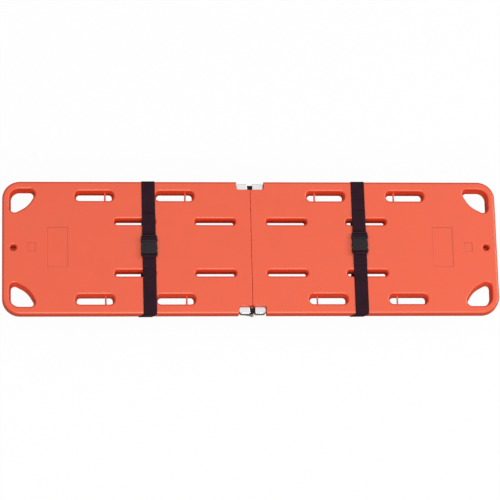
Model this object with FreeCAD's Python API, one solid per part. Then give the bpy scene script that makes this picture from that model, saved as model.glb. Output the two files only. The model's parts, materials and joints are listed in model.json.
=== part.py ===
"""Spine board in two foam-filled plastic halves that fold flat against each other.

Millimetres. +Z is up and +X runs from the head end to the foot end. The origin is under the
middle of the board, on the surface that its runners stand on. The fold axis lies along Y, under
the seam. Each half carries one webbing strap with a side-release buckle.
"""
import FreeCAD, Part
import math
import os

V = FreeCAD.Vector

# ---- board ----
BOARD_LENGTH = 1840.0
BOARD_WIDTH = 510.0
BODY_THICKNESS = 46.0
CORNER_RADIUS = 66.0
TOP_EDGE_RADIUS = 10.0
BOTTOM_EDGE_RADIUS = 8.0
SEAM_GAP = 1.0
SEAM_EDGE_RADIUS = 1.8
SHELL_WALL = 4.0
CORE_CLEARANCE = 0.3

# ---- runners under the board ----
RUNNER_HEIGHT = 14.0
RUNNER_WIDTH = 22.0
RUNNER_EDGE_RADIUS = 3.0
RUNNER_NOSE_SHARE = 0.45
RUNNER_FROM_SEAM = 70.0
RUNNER_FROM_END = 145.0
RUNNER_TO_HAND_SLOT = 21.0
RUNNER_TO_MIDDLE_SLOT = 18.0

# ---- hand slots, middle slots and corner grips ----
HAND_SLOT_LENGTH = 144.0
HAND_SLOT_WIDTH = 40.0
HAND_SLOT_RADIUS = 18.0
HAND_SLOT_RIM = 36.0
MIDDLE_SLOT_LENGTH = 152.0
MIDDLE_SLOT_WIDTH = 26.0
MIDDLE_SLOT_RADIUS = 12.0
ROW_SPACING = 100.0
FIRST_SLOT_FROM_SEAM = 133.0
LAST_SLOT_FROM_END = 340.0
TOP_LIP_RADIUS = 8.0
BOTTOM_LIP_RADIUS = 3.0
SLOT_DRAFT = 8.0
CUTTER_OVERRUN = 1.0
GRIP_LENGTH = 110.0
GRIP_WIDTH = 106.0
GRIP_END_RIM = 26.0
GRIP_SIDE_RIM = 28.0
GRIP_OUTER_RADIUS = 38.0
GRIP_TIP_RADIUS = 20.0
GRIP_BULGE = 22.0
GRIP_BULGE_RADIUS = 95.0

# ---- small features of the top face ----
END_HOLE_RADIUS = 10.5
END_HOLE_DEPTH = 34.0
END_HOLE_FROM_END = 41.0
LABEL_RECESS_LENGTH = 76.0
LABEL_RECESS_WIDTH = 154.0
LABEL_RECESS_FROM_END = 166.0
TAG_RECESS_LENGTH = 30.0
TAG_RECESS_WIDTH = 34.0
TAG_RECESS_FROM_END = 93.0
RECESS_DEPTH = 1.6
RECESS_RADIUS = 3.0

# ---- speed-clip pins across the hand slots ----
CLIP_PIN_RADIUS = 3.2
CLIP_PIN_HEIGHT = RUNNER_HEIGHT + BODY_THICKNESS / 2
CLIP_PIN_OFFSET = 40.0
CLIP_PIN_GRIP = 12.0
CLIP_PIN_CLEARANCE = 0.05

# ---- hinge notches and hinges ----
NOTCH_HALF_LENGTH = 51.0
NOTCH_DEPTH = 31.0
NOTCH_RADIUS = 8.0
NOTCH_MOUTH_RADIUS = 4.0
FOLD_GAP = 0.5
SEAT_GAP = 0.2
LEAF_FROM_SEAM = 9.3
LEAF_TO_NOTCH_END = 0.8
LEAF_WIDTH = 26.0
LEAF_BOTTOM = RUNNER_HEIGHT + 2.0
LEAF_TOP = RUNNER_HEIGHT + BODY_THICKNESS - 16.0
LEAF_CORNER_RADIUS = 11.0
LEAF_EDGE_RADIUS = 2.0
LUG_FLOOR_CLEARANCE = 0.5
LUG_ARM_TOP = RUNNER_HEIGHT + 8.0
LUG_ARM_REACH = 34.0
LUG_ARM_STEP = 3.0
LEAF_INNER_CORNER_RADIUS = 1.0
LEAF_SEAM_CORNER_RADIUS = 3.0
OUTER_LUG_THICKNESS = 6.0
LUG_GAP = 0.4
HINGE_PIN_RADIUS = 3.5
HINGE_PIN_CLEARANCE = 0.05
HINGE_PIN_HEAD_RADIUS = HINGE_PIN_RADIUS + 1.9
HINGE_PIN_HEAD_THICKNESS = 2.0
BUSH_WALL = 1.0
BUSH_SEAT_CLEARANCE = 0.02
CIRCLIP_RADIUS = HINGE_PIN_RADIUS + 1.7
CIRCLIP_THICKNESS = 1.0
CIRCLIP_GROOVE_DEPTH = 0.6
CIRCLIP_CLEARANCE = 0.1
PIN_TAIL = 1.2
STOP_PAD_BOTTOM = RUNNER_HEIGHT + 10.0
STOP_PAD_TOP = RUNNER_HEIGHT + 22.0
STOP_PAD_WIDTH = 18.0
STOP_PAD_GAP = 0.3
STOP_PAD_RADIUS = 1.5
PEG_RADIUS = 3.0
PEG_LENGTH = 5.0
BOLT_RADIUS = 3.0
BOLT_HEAD_RADIUS = 5.0
BOLT_HEAD_HEIGHT = 6.0
BOLT_SOCKET_WIDTH = 5.0
BOLT_SOCKET_DEPTH = 3.0
BOLT_HOLE_CLEARANCE = 0.3
BOLT_THREAD_CLEARANCE = 0.05
BOLT_X = (19.5, 38.5)
BOLT_HEIGHT = RUNNER_HEIGHT + 18.0
BOLT_ENGAGEMENT = 20.0
INSERT_RADIUS = 6.0
INSERT_LENGTH = 24.0

# ---- straps ----
WEBBING_WIDTH = 50.0
WEBBING_THICKNESS = 2.0
STRAP_CLEARANCE = 0.8
STRAP_SLANT = 0.3
WEBBING_LAYER_GAP = 0.3
WEBBING_TURN_RADIUS = 1.6
HEAD_STRAP_FROM_SLOT = 52.0
FOOT_STRAP_FROM_SLOT = 27.0
HEAD_BUCKLE_Y = 6.0
FOOT_BUCKLE_Y = 18.0
TAIL_LENGTH = 96.0
SEWN_LENGTH = 40.0
RUNNER_STRAP_ROOM = 12.0

# ---- side-release buckles: y = 0 is the middle, the clip lies on the +Y side ----
BUCKLE_CLEARANCE = 0.6
BUCKLE_HALF_WIDTH = WEBBING_WIDTH / 2 + 6.0
BUCKLE_HEIGHT = 14.2
BAR_CLEARANCE = 0.7
LAYERS_TOP = STRAP_CLEARANCE + 2 * WEBBING_THICKNESS + WEBBING_LAYER_GAP
BAR_BOTTOM = LAYERS_TOP - BUCKLE_CLEARANCE + BAR_CLEARANCE
HOUSING_MOUTH = 14.0
HOUSING_END = -46.0
HOUSING_CORNER_RADIUS = 11.0
HOUSING_MOUTH_TAPER = 3.5
HOUSING_MOUTH_RADIUS = 3.0
HOUSING_FLANK_RADIUS = 60.0
HOUSING_FLANK_Y = -14.0
HOUSING_EDGE_RADIUS = 3.2
SCALLOP_DEPTH = 5.0
PANEL_RISE = 1.0
PANEL_MARGIN = 4.0
PANEL_MOUTH_SHARE = 0.42
PANEL_END_SHARE = 0.62
PANEL_RADIUS = 3.0
PANEL_EDGE_RADIUS = 0.8
CAVITY_HALF_WIDTH = BUCKLE_HALF_WIDTH - 3.6
CAVITY_MOUTH_CLEARANCE = 1.2
WEB_SLOT_RADIUS = 1.5
CAVITY_BOTTOM = 2.8
CAVITY_TOP = 11.4
CAVITY_END = -32.0
WINDOW_START = -29.0
WINDOW_END = -8.5
WEB_SLOT_HALF_WIDTH = WEBBING_WIDTH / 2 + 1.2
HOUSING_SLOT = (-41.0, -35.0)
HOUSING_BAR_TOP = 10.0
CLIP_START = 14.4
CLIP_END = 37.0
CLIP_END_HALF_WIDTH = WEB_SLOT_HALF_WIDTH + 1.6
CLIP_SHOULDER_HALF_WIDTH = BUCKLE_HALF_WIDTH + 1.0
CLIP_HEIGHT = 13.0
CLIP_INNER_SLOT = (17.5, 22.0)
CLIP_OUTER_SLOT = (26.5, 31.5)
CLIP_BAR_TOP = 11.4
NECK_END = 3.5
GUIDE_HALF_WIDTH = 4.0
GUIDE_END = -24.0
PRONG_CLEARANCE = 0.35
PRONG_ROOT_X = CAVITY_HALF_WIDTH - 10.4
PRONG_ROOT_Y = 8.0
NECK_HALF_WIDTH = PRONG_ROOT_X + 6.0
PRONG_ROOT_RADIUS = 2.6
PRONG_THICKNESS = 4.2
PRONG_HEAD_HALF_WIDTH = BUCKLE_HALF_WIDTH - 0.7
PRONG_HOOK = -9.2
PRONG_TIP = -28.0
PRONG_SWING = 10.0
PRONG_HEAD_LENGTH = 12.0
PRONG_HEAD_THICKNESS = 6.0
PRONG_TIP_INSET = 2.2
PRONG_WAIST_INSET = 0.3
PRONG_HOOK_INSET = 4.6
PRONG_SOFT_RADIUS = 3.0
PRONG_SHARP_RADIUS = 1.2
CLIP_CORNER_RADIUS = 4.0
CLIP_SHOULDER_RADIUS = 1.0
CLIP_EDGE_RADIUS = 2.0

# ---- worked out from the sizes above ----
BODY_TOP = RUNNER_HEIGHT + BODY_THICKNESS
HALF_LENGTH = BOARD_LENGTH / 2
HALF_WIDTH = BOARD_WIDTH / 2
FOLD_AXIS_Z = (RUNNER_HEIGHT - FOLD_GAP) / 2
LUG_RADIUS = FOLD_AXIS_Z - LUG_FLOOR_CLEARANCE
HAND_SLOT_Y = HALF_WIDTH - HAND_SLOT_RIM - HAND_SLOT_WIDTH / 2
MIDDLE_SLOT_Y = HAND_SLOT_Y - ROW_SPACING
SLOT_STEP = (HALF_LENGTH - LAST_SLOT_FROM_END - FIRST_SLOT_FROM_SEAM) / 3
MIDDLE_SLOT_X = (FIRST_SLOT_FROM_SEAM, FIRST_SLOT_FROM_SEAM + 2 * SLOT_STEP)
HAND_SLOT_X = (FIRST_SLOT_FROM_SEAM + SLOT_STEP, FIRST_SLOT_FROM_SEAM + 3 * SLOT_STEP)
OUTER_RUNNER_Y = HAND_SLOT_Y - HAND_SLOT_WIDTH / 2 - RUNNER_TO_HAND_SLOT
INNER_RUNNER_Y = MIDDLE_SLOT_Y + MIDDLE_SLOT_WIDTH / 2 + RUNNER_TO_MIDDLE_SLOT
HEAD_STRAP_X = -(MIDDLE_SLOT_X[1] - HEAD_STRAP_FROM_SLOT)
FOOT_STRAP_X = MIDDLE_SLOT_X[1] - FOOT_STRAP_FROM_SLOT
STRAP_REACH = WEBBING_WIDTH / 2 + HALF_WIDTH * math.sin(math.radians(STRAP_SLANT))
NOTCH_WALL_Y = HALF_WIDTH - NOTCH_DEPTH
LEAF_INNER_Y = NOTCH_WALL_Y + SEAT_GAP
LEAF_OUTER_Y = LEAF_INNER_Y + LEAF_WIDTH
LEAF_END_X = NOTCH_HALF_LENGTH - LEAF_TO_NOTCH_END
BUSH_RADIUS = HINGE_PIN_RADIUS + HINGE_PIN_CLEARANCE + BUSH_WALL
BUCKLE_BASE = BODY_TOP + BUCKLE_CLEARANCE


def rounded_wire(corners, z):
    """A closed wire at height z through corners given as (x, y, radius)."""
    turns = []
    for i, (x, y, radius) in enumerate(corners):
        here = V(x, y, z)
        x_next, y_next, _ = corners[(i + 1) % len(corners)]
        back = (V(corners[i - 1][0], corners[i - 1][1], z) - here).normalize()
        onward = (V(x_next, y_next, z) - here).normalize()
        if radius <= 0:
            turns.append((here, None, here))
            continue
        half_angle = back.getAngle(onward) / 2
        reach = radius / math.tan(half_angle)
        inward = (back + onward).normalize()
        middle = here + inward * (radius / math.sin(half_angle) - radius)
        turns.append((here + back * reach, middle, here + onward * reach))
    edges = []
    for i, (start, middle, end) in enumerate(turns):
        if middle is not None:
            edges.append(Part.Arc(start, middle, end).toShape())
        following = turns[(i + 1) % len(turns)][0]
        if end.distanceToPoint(following) > 1e-6:
            edges.append(Part.LineSegment(end, following).toShape())
    return Part.Wire(edges)


def prism(corners, low, high):
    """A solid with a rounded outline, from height low to height high."""
    return Part.Face(rounded_wire(corners, low)).extrude(V(0, 0, high - low))


def rectangle(x_low, x_high, y_low, y_high, radius=0.0):
    """Corners of a rectangle, all with one radius."""
    spots = ((x_low, y_low), (x_high, y_low), (x_high, y_high), (x_low, y_high))
    return [(x, y, radius) for x, y in spots]


def block(x_low, x_high, y_low, y_high, z_low, z_high):
    """A plain box between the given limits."""
    return Part.makeBox(x_high - x_low, y_high - y_low, z_high - z_low, V(x_low, y_low, z_low))


def rod_y(radius, y_low, y_high, x, z):
    """A cylinder along Y."""
    return Part.makeCylinder(radius, y_high - y_low, V(x, y_low, z), V(0, 1, 0))


def fused(shapes):
    """All the shapes joined into one."""
    return shapes[0].multiFuse(shapes[1:]).removeSplitter()


def across_x(shape):
    """The shape mirrored to the other side of the seam."""
    return shape.mirror(V(0, 0, 0), V(1, 0, 0))


def across_y(shape):
    """The shape mirrored to the other long side."""
    return shape.mirror(V(0, 0, 0), V(0, 1, 0))


def edges_at(shape, z):
    """Edges that lie wholly at height z."""
    return [e for e in shape.Edges if abs(e.BoundBox.ZMin - z) < 1e-4 and abs(e.BoundBox.ZMax - z) < 1e-4]


def level_face(shape, z):
    """The largest flat face at height z."""
    flat = [f for f in shape.Faces if abs(f.BoundBox.ZMin - z) < 1e-4 and abs(f.BoundBox.ZMax - z) < 1e-4]
    return max(flat, key=lambda f: f.Area)


def inner_rims(face):
    """Edges of the openings in a face."""
    outer = face.OuterWire
    return [e for wire in face.Wires if not wire.isSame(outer) for e in wire.Edges]


# ---- the board halves; both are made as the foot half and mirrored for the head ----

def grown(corners, grow):
    """An anticlockwise outline of outward corners with every side moved out by grow."""
    moved = []
    for i, (x, y, radius) in enumerate(corners):
        here = V(x, y, 0)
        x_next, y_next, _ = corners[(i + 1) % len(corners)]
        arriving = (here - V(corners[i - 1][0], corners[i - 1][1], 0)).normalize()
        leaving = (V(x_next, y_next, 0) - here).normalize()
        outward = V(arriving.y + leaving.y, -arriving.x - leaving.x, 0).normalize()
        point = here + outward * (grow / math.cos(arriving.getAngle(leaving) / 2))
        moved.append((point.x, point.y, radius + grow))
    return moved


def drafted(corners, grow):
    """A cutter from under the board to above it, grown by grow, that narrows downward by the draft."""
    slope = math.tan(math.radians(SLOT_DRAFT))
    low = -CUTTER_OVERRUN
    high = BODY_TOP + CUTTER_OVERRUN
    narrow = rounded_wire(grown(corners, grow - (BODY_TOP - low) * slope), low)
    wide = rounded_wire(grown(corners, grow + (high - BODY_TOP) * slope), high)
    return Part.makeLoft([narrow, wide], True, True)


def slot_outline(x, y, length, width, radius):
    """The rim of one slot at the top face."""
    return rectangle(x - length / 2, x + length / 2, y - width / 2, y + width / 2, radius)


def grip_outline():
    """The rim of the +Y corner grip at the top face: two straight legs and a bulging long side."""
    end = HALF_LENGTH - GRIP_END_RIM
    side = HALF_WIDTH - GRIP_SIDE_RIM
    inner_end = end - GRIP_LENGTH
    inner_side = side - GRIP_WIDTH
    bulge = GRIP_BULGE / math.sqrt(2)
    middle = ((inner_end + end) / 2 - bulge, (inner_side + side) / 2 - bulge)
    return [(end, side, GRIP_OUTER_RADIUS), (inner_end, side, GRIP_TIP_RADIUS),
            (middle[0], middle[1], GRIP_BULGE_RADIUS), (end, inner_side, GRIP_TIP_RADIUS)]


def opening_tools(grow):
    """Cutters for the slots, grips and end hole of the foot half."""
    hand = (HAND_SLOT_Y, HAND_SLOT_LENGTH, HAND_SLOT_WIDTH, HAND_SLOT_RADIUS)
    middle = (MIDDLE_SLOT_Y, MIDDLE_SLOT_LENGTH, MIDDLE_SLOT_WIDTH, MIDDLE_SLOT_RADIUS)
    outlines = [slot_outline(x, *hand) for x in HAND_SLOT_X]
    outlines += [slot_outline(x, *middle) for x in MIDDLE_SLOT_X]
    outlines.append(grip_outline())
    tools = [drafted(outline, grow) for outline in outlines]
    tools += [across_y(tool) for tool in tools]
    depth = END_HOLE_DEPTH + grow
    foot = V(HALF_LENGTH - END_HOLE_FROM_END, 0, BODY_TOP - depth)
    tools.append(Part.makeCylinder(END_HOLE_RADIUS + grow, depth + CUTTER_OVERRUN, foot))
    return tools


def notch_tools(grow):
    """Cutters for the two hinge notches at the seam end."""
    corner = NOTCH_HALF_LENGTH + grow
    inner = NOTCH_WALL_Y - grow
    outer = HALF_WIDTH + CUTTER_OVERRUN
    outline = [(-CUTTER_OVERRUN, inner, 0), (corner, inner, NOTCH_RADIUS + grow), (corner, outer, 0),
               (-CUTTER_OVERRUN, outer, 0)]
    tool = prism(outline, -CUTTER_OVERRUN, BODY_TOP + CUTTER_OVERRUN)
    return [tool, across_y(tool)]


def plain_body(inset):
    """The foot half as a solid with no openings, every side moved in by inset."""
    seam = SEAM_GAP / 2 + inset
    end = HALF_LENGTH - inset
    side = HALF_WIDTH - inset
    low = RUNNER_HEIGHT + inset
    high = BODY_TOP - inset
    corner = CORNER_RADIUS - inset
    outline = [(seam, -side, 0), (end, -side, corner), (end, side, corner), (seam, side, 0)]
    body = prism(outline, low, high)
    for z, radius in ((high, TOP_EDGE_RADIUS), (low, BOTTOM_EDGE_RADIUS)):
        outer = [e for e in edges_at(body, z) if e.BoundBox.XMax > seam + radius]
        body = body.makeFillet(radius - inset, outer)
    return body.cut(notch_tools(inset))


def is_seam_wall(face):
    """Whether a face is an upright wall of the seam or of a hinge notch."""
    box = face.BoundBox
    upright = box.ZLength > BODY_THICKNESS - 1e-3
    within_x = box.XMax < NOTCH_HALF_LENGTH + 1e-3
    return upright and within_x


def soften_seam_end(body):
    """Round the upright corners at the notch mouths, then every rim of the seam and notch walls."""
    seam = SEAM_GAP / 2
    upright = [e for e in body.Edges if abs(e.BoundBox.ZLength - BODY_THICKNESS) < 1e-3
               and abs(e.BoundBox.XMax - seam) < 1e-3 and abs(abs(e.BoundBox.YMax) - NOTCH_WALL_Y) < 1e-3]
    body = body.makeFillet(NOTCH_MOUTH_RADIUS, upright)
    walls = [f for f in body.Faces if is_seam_wall(f)]
    wall_edges = [e for f in walls for e in f.Edges]
    rims = [e for e in wall_edges if sum(e.isSame(other) for other in wall_edges) == 1]
    return body.makeFillet(SEAM_EDGE_RADIUS, rims)


def runner(y):
    """The two stretches of one runner, with room for the straps between them."""
    strap_start = min(-HEAD_STRAP_X, FOOT_STRAP_X) - STRAP_REACH - RUNNER_STRAP_ROOM
    strap_end = max(-HEAD_STRAP_X, FOOT_STRAP_X) + STRAP_REACH + RUNNER_STRAP_ROOM
    stretches = []
    half = RUNNER_WIDTH / 2
    for start, end in ((RUNNER_FROM_SEAM, strap_start), (strap_end, HALF_LENGTH - RUNNER_FROM_END)):
        outline = rectangle(start, end, y - half, y + half, RUNNER_WIDTH * RUNNER_NOSE_SHARE)
        bar = prism(outline, 0, RUNNER_HEIGHT + SHELL_WALL / 2)
        stretches.append(bar.makeFillet(RUNNER_EDGE_RADIUS, edges_at(bar, 0)))
    return stretches


def recess_tools():
    """Cutters for the label recess and the tag recess in the top face."""
    tools = []
    for from_end, length, width in ((LABEL_RECESS_FROM_END, LABEL_RECESS_LENGTH, LABEL_RECESS_WIDTH),
                                    (TAG_RECESS_FROM_END, TAG_RECESS_LENGTH, TAG_RECESS_WIDTH)):
        high = HALF_LENGTH - from_end
        outline = rectangle(high - length, high, -width / 2, width / 2, RECESS_RADIUS)
        tools.append(prism(outline, BODY_TOP - RECESS_DEPTH, BODY_TOP + 1))
    return tools


def clip_pin_rods(radius):
    """Rods across the +Y hand slots of the foot half, as the pins or as the holes for them."""
    y_low = HAND_SLOT_Y - HAND_SLOT_WIDTH / 2 - CLIP_PIN_GRIP
    y_high = HAND_SLOT_Y + HAND_SLOT_WIDTH / 2 + CLIP_PIN_GRIP
    return [rod_y(radius, y_low, y_high, x - CLIP_PIN_OFFSET, CLIP_PIN_HEIGHT) for x in HAND_SLOT_X]


def insert_rods(radius, extra=0.0):
    """Rods for the threaded inserts behind the +Y notch wall of the foot half."""
    low = NOTCH_WALL_Y - INSERT_LENGTH - extra
    return [rod_y(radius, low, NOTCH_WALL_Y, x, BOLT_HEIGHT) for x in BOLT_X]


def shell(runner_side):
    """The moulded skin of the foot half. runner_side swaps the runner that is further out."""
    body = soften_seam_end(plain_body(0.0))
    body = body.cut(opening_tools(0.0))
    body = body.makeFillet(TOP_LIP_RADIUS, inner_rims(level_face(body, BODY_TOP)))
    body = body.makeFillet(BOTTOM_LIP_RADIUS, inner_rims(level_face(body, RUNNER_HEIGHT)))
    body = body.cut(recess_tools())
    body = fused([body] + runner(-runner_side * OUTER_RUNNER_Y) + runner(runner_side * INNER_RUNNER_Y))
    cavity = plain_body(SHELL_WALL).cut(opening_tools(SHELL_WALL))
    holes = clip_pin_rods(CLIP_PIN_RADIUS + CLIP_PIN_CLEARANCE) + insert_rods(INSERT_RADIUS + SEAT_GAP)
    return body.cut([cavity] + holes + [across_y(hole) for hole in holes])


def core():
    """The foam that fills the shell of the foot half."""
    inset = SHELL_WALL + CORE_CLEARANCE
    body = plain_body(inset).cut(opening_tools(inset))
    pockets = clip_pin_rods(CLIP_PIN_RADIUS + CORE_CLEARANCE)
    pockets += insert_rods(INSERT_RADIUS + CORE_CLEARANCE, CORE_CLEARANCE)
    return body.cut(pockets + [across_y(pocket) for pocket in pockets])


# ---- hinges; the +Y hinge is made, and mirrored for the other side ----

def leaf_block():
    """The body of the foot leaf, which lies along the notch wall."""
    outline = [(LEAF_FROM_SEAM, LEAF_INNER_Y, LEAF_INNER_CORNER_RADIUS),
               (LEAF_END_X, LEAF_INNER_Y, NOTCH_RADIUS + LEAF_TO_NOTCH_END),
               (LEAF_END_X, LEAF_OUTER_Y, LEAF_CORNER_RADIUS),
               (LEAF_FROM_SEAM, LEAF_OUTER_Y, LEAF_SEAM_CORNER_RADIUS)]
    body = prism(outline, LEAF_BOTTOM, LEAF_TOP)
    rims = [e for e in edges_at(body, LEAF_TOP) if e.BoundBox.YMax > LEAF_INNER_Y + LEAF_EDGE_RADIUS / 2]
    return body.makeFillet(LEAF_EDGE_RADIUS, rims)


def lug(y_low, y_high):
    """One knuckle of the foot leaf: a disc round the fold axis with an arm up to the block."""
    centre = V(0, 0, FOLD_AXIS_Z)
    slope = math.atan2(LEAF_BOTTOM - FOLD_AXIS_Z, LUG_ARM_REACH)
    normal = V(-math.sin(slope), 0, math.cos(slope)) * LUG_RADIUS
    points = [centre + normal, V(LEAF_FROM_SEAM, 0, LUG_ARM_TOP),
              V(LEAF_FROM_SEAM + LUG_ARM_STEP, 0, LUG_ARM_TOP), V(LUG_ARM_REACH, 0, LEAF_BOTTOM + 1),
              V(LUG_ARM_REACH, 0, LEAF_BOTTOM), centre - normal]
    arm = Part.Face(Part.makePolygon(points + points[:1])).extrude(V(0, y_high - y_low, 0))
    arm.translate(V(0, y_low, 0))
    return fused([arm, rod_y(LUG_RADIUS, y_low, y_high, 0, FOLD_AXIS_Z)])


def bolt_hole_tools():
    """Bolt holes and head counterbores of one leaf."""
    tools = []
    for x in BOLT_X:
        tools.append(rod_y(BOLT_RADIUS + BOLT_HOLE_CLEARANCE, NOTCH_WALL_Y, LEAF_OUTER_Y + 1, x, BOLT_HEIGHT))
        tools.append(rod_y(BOLT_HEAD_RADIUS + BOLT_HOLE_CLEARANCE, LEAF_OUTER_Y - BOLT_HEAD_HEIGHT,
                           LEAF_OUTER_Y + 1, x, BOLT_HEIGHT))
    return tools


def lug_spans():
    """The y ranges of the inner, middle and outer knuckles."""
    inner = (LEAF_INNER_Y, LEAF_INNER_Y + OUTER_LUG_THICKNESS)
    outer = (LEAF_OUTER_Y - OUTER_LUG_THICKNESS, LEAF_OUTER_Y)
    return inner, (inner[1] + LUG_GAP, outer[0] - LUG_GAP), outer


def foot_leaf():
    """The leaf on the foot half: one wide middle knuckle, bored for the bush."""
    _, middle, _ = lug_spans()
    body = fused([leaf_block(), lug(*middle)])
    bore = rod_y(BUSH_RADIUS + BUSH_SEAT_CLEARANCE, middle[0] - 1, middle[1] + 1, 0, FOLD_AXIS_Z)
    return body.cut(bolt_hole_tools() + [bore])


def head_leaf():
    """The leaf on the head half: two outer knuckles, bored for the pin, and the stop pad's socket."""
    inner, _, outer = lug_spans()
    body = fused([leaf_block(), lug(*inner), lug(*outer)])
    bore = rod_y(HINGE_PIN_RADIUS + BUSH_SEAT_CLEARANCE, inner[0] - 1, outer[1] + 1, 0, FOLD_AXIS_Z)
    socket = stop_pad_peg(PEG_RADIUS + SEAT_GAP, PEG_LENGTH + SEAT_GAP)
    return across_x(body.cut(bolt_hole_tools() + [bore, socket]))


def stop_pad_peg(radius, length):
    """The round peg that holds the stop pad in the leaf, drawn on the foot side."""
    y = (LEAF_INNER_Y + LEAF_OUTER_Y) / 2
    z = (STOP_PAD_BOTTOM + STOP_PAD_TOP) / 2
    start = LEAF_FROM_SEAM - STOP_PAD_GAP
    return Part.makeCylinder(radius, length + STOP_PAD_GAP, V(start, y, z), V(1, 0, 0))


def stop_pad():
    """The pad on the head leaf that the foot leaf closes against when the board is straight."""
    y = (LEAF_INNER_Y + LEAF_OUTER_Y) / 2
    reach = LEAF_FROM_SEAM - STOP_PAD_GAP
    outline = rectangle(-reach, reach, y - STOP_PAD_WIDTH / 2, y + STOP_PAD_WIDTH / 2, STOP_PAD_RADIUS)
    pad = prism(outline, STOP_PAD_BOTTOM, STOP_PAD_TOP)
    pad = pad.makeChamfer(STOP_PAD_RADIUS / 2, edges_at(pad, STOP_PAD_TOP))
    return fused([pad, across_x(stop_pad_peg(PEG_RADIUS, PEG_LENGTH))])


def hinge_pin():
    """The pin, with a flat head outside the leaf and a circlip groove inside it."""
    groove_end = LEAF_INNER_Y - CIRCLIP_CLEARANCE
    groove_start = groove_end - CIRCLIP_THICKNESS - 2 * CIRCLIP_CLEARANCE
    shank = rod_y(HINGE_PIN_RADIUS, groove_start - PIN_TAIL, LEAF_OUTER_Y + 1, 0, FOLD_AXIS_Z)
    head_start = LEAF_OUTER_Y + SEAT_GAP
    head = rod_y(HINGE_PIN_HEAD_RADIUS, head_start, head_start + HINGE_PIN_HEAD_THICKNESS, 0, FOLD_AXIS_Z)
    sleeve = rod_y(HINGE_PIN_RADIUS + 1, groove_start, groove_end, 0, FOLD_AXIS_Z)
    groove_radius = HINGE_PIN_RADIUS - CIRCLIP_GROOVE_DEPTH
    sleeve = sleeve.cut(rod_y(groove_radius, groove_start, groove_end, 0, FOLD_AXIS_Z))
    return fused([shank, head]).cut(sleeve)


def circlip():
    """The open ring that keeps the pin in."""
    end = LEAF_INNER_Y - 2 * CIRCLIP_CLEARANCE
    start = end - CIRCLIP_THICKNESS
    ring = rod_y(CIRCLIP_RADIUS, start, end, 0, FOLD_AXIS_Z)
    bore = HINGE_PIN_RADIUS - CIRCLIP_GROOVE_DEPTH + CIRCLIP_CLEARANCE
    mouth = block(-bore * 0.8, bore * 0.8, start, end, FOLD_AXIS_Z, FOLD_AXIS_Z + CIRCLIP_RADIUS + 1)
    return ring.cut([rod_y(bore, start, end, 0, FOLD_AXIS_Z), mouth])


def bush():
    """The plain bearing between the pin and the middle knuckle."""
    _, middle, _ = lug_spans()
    sleeve = rod_y(BUSH_RADIUS, middle[0], middle[1], 0, FOLD_AXIS_Z)
    return sleeve.cut(rod_y(HINGE_PIN_RADIUS + HINGE_PIN_CLEARANCE, middle[0], middle[1], 0, FOLD_AXIS_Z))


def hexagon_y(width, y_low, y_high, x, z):
    """A hexagonal rod along Y, width across its flats."""
    radius = width / math.sqrt(3)
    points = []
    for i in range(6):
        angle = math.radians(60 * i)
        points.append(V(x + radius * math.cos(angle), y_low, z + radius * math.sin(angle)))
    return Part.Face(Part.makePolygon(points + points[:1])).extrude(V(0, y_high - y_low, 0))


def bolts():
    """Socket-head bolts of one leaf on the foot side."""
    made = []
    seat = LEAF_OUTER_Y - BOLT_HEAD_HEIGHT + SEAT_GAP
    top = seat + BOLT_HEAD_HEIGHT - 2 * SEAT_GAP
    for x in BOLT_X:
        shank = rod_y(BOLT_RADIUS, NOTCH_WALL_Y - BOLT_ENGAGEMENT, seat + 1, x, BOLT_HEIGHT)
        head = rod_y(BOLT_HEAD_RADIUS, seat, top, x, BOLT_HEIGHT)
        socket = hexagon_y(BOLT_SOCKET_WIDTH, top - BOLT_SOCKET_DEPTH, top, x, BOLT_HEIGHT)
        made.append(fused([shank, head]).cut(socket))
    return Part.makeCompound(made)


def inserts():
    """Threaded inserts of one leaf on the foot side, moulded into the shell."""
    made = []
    start = NOTCH_WALL_Y - BOLT_ENGAGEMENT - CUTTER_OVERRUN
    for x, rod in zip(BOLT_X, insert_rods(INSERT_RADIUS)):
        bore = rod_y(BOLT_RADIUS + BOLT_THREAD_CLEARANCE, start, NOTCH_WALL_Y, x, BOLT_HEIGHT)
        made.append(rod.cut(bore))
    return Part.makeCompound(made)


# ---- straps ----

def strip(path, thickness):
    """Corners of a band of constant thickness along a path of (x, y, radius) points."""
    sides = ([], [])
    for i, (x, y, radius) in enumerate(path):
        here = V(x, y, 0)
        before = V(path[i - 1][0], path[i - 1][1], 0) if i else None
        after = V(path[i + 1][0], path[i + 1][1], 0) if i + 1 < len(path) else None
        arriving = (here - before).normalize() if before else (after - here).normalize()
        leaving = (after - here).normalize() if after else arriving
        turn = arriving.cross(leaving).z
        normal = (V(-arriving.y, arriving.x, 0) + V(-leaving.y, leaving.x, 0)).normalize()
        reach = thickness / 2 / math.cos(arriving.getAngle(leaving) / 2)
        for side, sign in ((sides[0], 1), (sides[1], -1)):
            point = here + normal * reach * sign
            shrink = thickness / 2 * sign * (1 if turn > 0 else -1)
            side.append((point.x, point.y, max(radius - shrink, 0) if radius else 0))
    return sides[0] + sides[1][::-1]


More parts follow.
